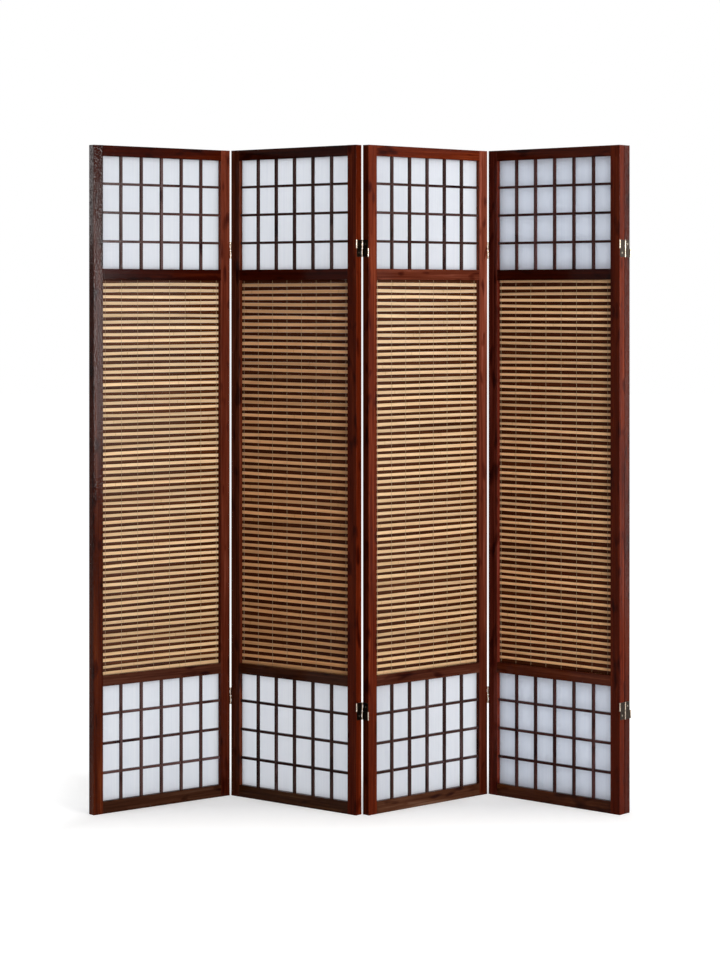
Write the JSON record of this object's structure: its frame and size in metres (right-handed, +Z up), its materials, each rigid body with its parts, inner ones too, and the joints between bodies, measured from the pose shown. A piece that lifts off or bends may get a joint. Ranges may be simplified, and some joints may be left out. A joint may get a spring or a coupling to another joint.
{
  "type": "folding screen",
  "caption": "Free-standing folding screen of framed panels with paper lattice windows above and below a bamboo mat, on hinges that fold both ways.",
  "frame": {"origin": "on the floor, at the middle of the screen's bounding box as it stands in the picture", "axes": "+X to the right along the screen, +Y away from the viewer, +Z up"},
  "size_m": [1.452, 0.3384, 1.79],
  "materials": {
    "lacquered_wood": "gloss lacquer",
    "natural_bamboo": "satin",
    "dark_bamboo": "satin",
    "shoji_paper": "matt",
    "cotton_thread": "matt",
    "bronzed_steel": "antique bronze",
    "bright_steel": "polished"
  },
  "bodies": {
    "panel_1": {"panel_1_stiles": "lacquered_wood", "panel_1_rails": "lacquered_wood", "panel_1_lattice_bars": "lacquered_wood", "panel_1_paper": "shoji_paper", "panel_1_battens": "lacquered_wood", "panel_1_threads": "cotton_thread", "panel_1_natural_slats": "natural_bamboo", "panel_1_dark_slats": "dark_bamboo", "panel_1_hinge_leaves": "bronzed_steel", "panel_1_hinge_links": "bronzed_steel", "panel_1_hinge_pins": "bright_steel", "panel_1_hinge_screws": "bright_steel"},
    "panel_2": {"panel_2_stiles": "lacquered_wood", "panel_2_rails": "lacquered_wood", "panel_2_lattice_bars": "lacquered_wood", "panel_2_paper": "shoji_paper", "panel_2_battens": "lacquered_wood", "panel_2_threads": "cotton_thread", "panel_2_natural_slats": "natural_bamboo", "panel_2_dark_slats": "dark_bamboo", "panel_2_hinge_leaves": "bronzed_steel", "panel_2_hinge_links": "bronzed_steel", "panel_2_hinge_pins": "bright_steel", "panel_2_hinge_screws": "bright_steel"},
    "panel_3": {"panel_3_stiles": "lacquered_wood", "panel_3_rails": "lacquered_wood", "panel_3_lattice_bars": "lacquered_wood", "panel_3_paper": "shoji_paper", "panel_3_battens": "lacquered_wood", "panel_3_threads": "cotton_thread", "panel_3_natural_slats": "natural_bamboo", "panel_3_dark_slats": "dark_bamboo", "panel_3_hinge_leaves": "bronzed_steel", "panel_3_hinge_links": "bronzed_steel", "panel_3_hinge_pins": "bright_steel", "panel_3_hinge_screws": "bright_steel"},
    "panel_4": {"panel_4_stiles": "lacquered_wood", "panel_4_rails": "lacquered_wood", "panel_4_lattice_bars": "lacquered_wood", "panel_4_paper": "shoji_paper", "panel_4_battens": "lacquered_wood", "panel_4_threads": "cotton_thread", "panel_4_natural_slats": "natural_bamboo", "panel_4_dark_slats": "dark_bamboo", "panel_4_hinge_leaves": "bronzed_steel", "panel_4_hinge_links": "bronzed_steel", "panel_4_hinge_pins": "bright_steel", "panel_4_hinge_screws": "bright_steel"},
    "panel_5": {"panel_5_stiles": "lacquered_wood", "panel_5_rails": "lacquered_wood", "panel_5_lattice_bars": "lacquered_wood", "panel_5_paper": "shoji_paper", "panel_5_battens": "lacquered_wood", "panel_5_threads": "cotton_thread", "panel_5_natural_slats": "natural_bamboo", "panel_5_dark_slats": "dark_bamboo", "panel_5_hinge_leaves": "bronzed_steel", "panel_5_hinge_links": "bronzed_steel", "panel_5_hinge_pins": "bright_steel", "panel_5_hinge_screws": "bright_steel"}
  },
  "joints": [
    {"name": "fold_2_3", "type": "hinge", "parent": "panel_3", "child": "panel_2", "pos_m": [0.00468, -0.14889, 0], "axis": [0, 0, -1], "range_deg": [-74.6, 98]},
    {"name": "fold_1_2", "type": "hinge", "parent": "panel_2", "child": "panel_1", "pos_m": [-0.36083, 0.11521, 0], "axis": [0, 0, 1], "range_deg": [-77.35, 101.61]},
    {"name": "fold_3_4", "type": "hinge", "parent": "panel_3", "child": "panel_4", "pos_m": [0.35488, 0.1352, 0], "axis": [0, 0, -1], "range_deg": [-72.7, 95.51]},
    {"name": "fold_4_5", "type": "hinge", "parent": "panel_4", "child": "panel_5", "pos_m": [0.70853, -0.14459, 0], "axis": [0, 0, -1], "range_deg": [0, 180]}
  ],
  "couplings": [
    {"joint": "fold_1_2", "follows": "fold_2_3", "ratio": 1.0367},
    {"joint": "fold_3_4", "follows": "fold_2_3", "ratio": 0.97449}
  ]
}
